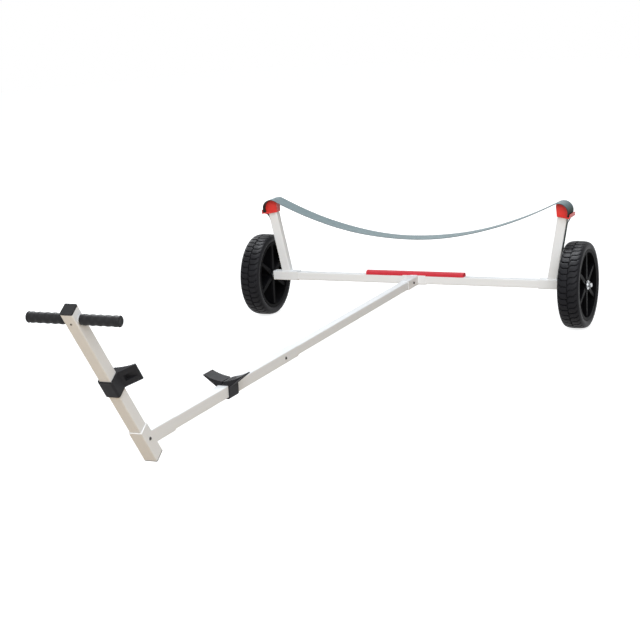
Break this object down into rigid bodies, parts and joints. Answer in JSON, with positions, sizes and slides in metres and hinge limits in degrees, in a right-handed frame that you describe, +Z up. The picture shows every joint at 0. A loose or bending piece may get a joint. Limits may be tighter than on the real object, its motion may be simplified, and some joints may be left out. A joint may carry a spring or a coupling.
{
  "type": "dinghy launching trolley",
  "caption": "Two-wheeled launching trolley with a square-tube T frame, leaning uprights carrying a hull strap, V rest blocks and a raked T-bar handle post.",
  "frame": {"origin": "on the floor, under the middle of the whole trolley's box", "axes": "+Z up, X across along the wheel axis, -Y towards the handle, +Y towards the wheels"},
  "size_m": [1.719, 3.1858, 0.6136],
  "materials": {
    "white_paint": "gloss",
    "galvanised_steel": "satin",
    "black_plastic": "satin",
    "block_rubber": "matte",
    "grip_rubber": "matte",
    "tyre_rubber": "matte",
    "red_plastic": "satin",
    "strap_webbing": "woven"
  },
  "bodies": {
    "frame": {"cross_beam": "white_paint", "drawbar_block": "block_rubber", "foot_plug": "black_plastic", "foot_socket": "white_paint", "front_drawbar": "white_paint", "handle_post": "white_paint", "handlebar": "white_paint", "hull_strap": "strap_webbing", "keel_pad": "red_plastic", "left_axle_pin": "galvanised_steel", "left_axle_washer": "galvanised_steel", "left_end_sleeve": "white_paint", "left_grip": "grip_rubber", "left_saddle": "red_plastic", "left_stub_axle": "galvanised_steel", "left_upright": "white_paint", "post_block": "block_rubber", "post_cap": "black_plastic", "rear_drawbar": "white_paint", "right_axle_pin": "galvanised_steel", "right_axle_washer": "galvanised_steel", "right_end_sleeve": "white_paint", "right_grip": "grip_rubber", "right_saddle": "red_plastic", "right_stub_axle": "galvanised_steel", "right_upright": "white_paint", "tee_piece": "white_paint"},
    "wheel_left": {"left_tyre": "tyre_rubber", "left_rim": "black_plastic"},
    "wheel_right": {"right_tyre": "tyre_rubber", "right_rim": "black_plastic"}
  },
  "joints": [
    {"name": "left_wheel_spin", "type": "hinge", "parent": "frame", "child": "wheel_left", "pos_m": [-0.796, 1.39294, 0.2], "axis": [1, 0, 0], "continuous": true},
    {"name": "right_wheel_spin", "type": "hinge", "parent": "frame", "child": "wheel_right", "pos_m": [0.796, 1.39294, 0.2], "axis": [1, 0, 0], "continuous": true}
  ]
}
